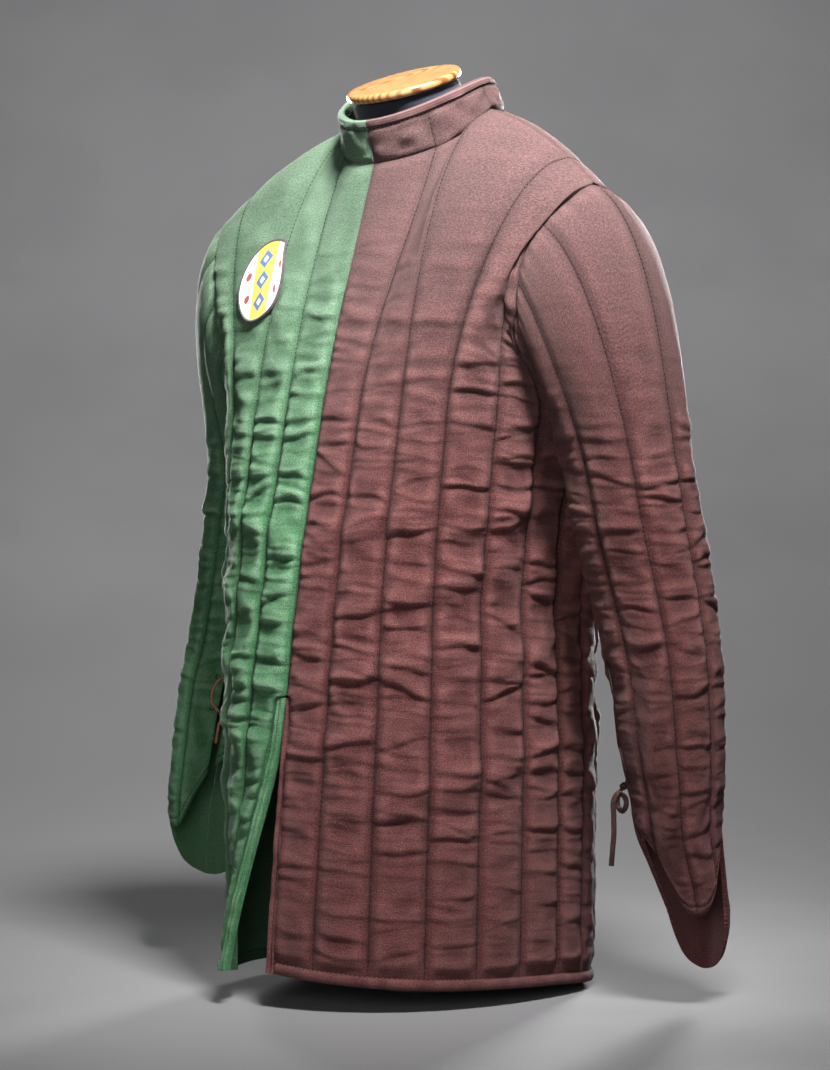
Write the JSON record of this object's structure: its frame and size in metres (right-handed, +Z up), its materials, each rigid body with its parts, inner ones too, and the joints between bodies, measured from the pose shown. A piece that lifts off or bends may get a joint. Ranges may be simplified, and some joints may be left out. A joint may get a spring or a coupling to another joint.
{
  "type": "gambeson on dress form",
  "caption": "Quilted mi-parti gambeson in green and brown-red with laced cuffs, a stand collar and a front slit, on a limbless dress form.",
  "frame": {"origin": "underside of the stand's foot, below the middle of the neck", "axes": "+Z up, -Y the way the wearer faces, +X the wearer's left"},
  "size_m": [0.6516, 0.4271, 0.9177],
  "materials": {
    "green_linen": "matte quilted linen-cotton",
    "brown_linen": "matte quilted linen-cotton",
    "navy_jersey": "smooth jersey",
    "pine": "satin varnish",
    "thong_leather": "waxed thong",
    "thong_leather_red": "waxed thong",
    "patch_cloth": "embroidered cloth badge",
    "painted_steel": "satin black"
  },
  "bodies": {
    "root": {"front_left": "brown_linen", "front_right": "green_linen", "back_left": "brown_linen", "back_right": "green_linen", "collar_left": "brown_linen", "collar_right": "green_linen", "hem_left": "brown_linen", "hem_right": "green_linen", "slit_band_left": "brown_linen", "slit_band_right": "green_linen", "sleeve_left_outer": "brown_linen", "sleeve_left_inner": "brown_linen", "sleeve_right_outer": "green_linen", "sleeve_right_inner": "green_linen", "lace_left": "thong_leather", "lace_right": "thong_leather_red", "patch": "patch_cloth", "form_torso": "navy_jersey", "neck_cap": "pine", "form_stand": "painted_steel"}
  },
  "joints": []
}
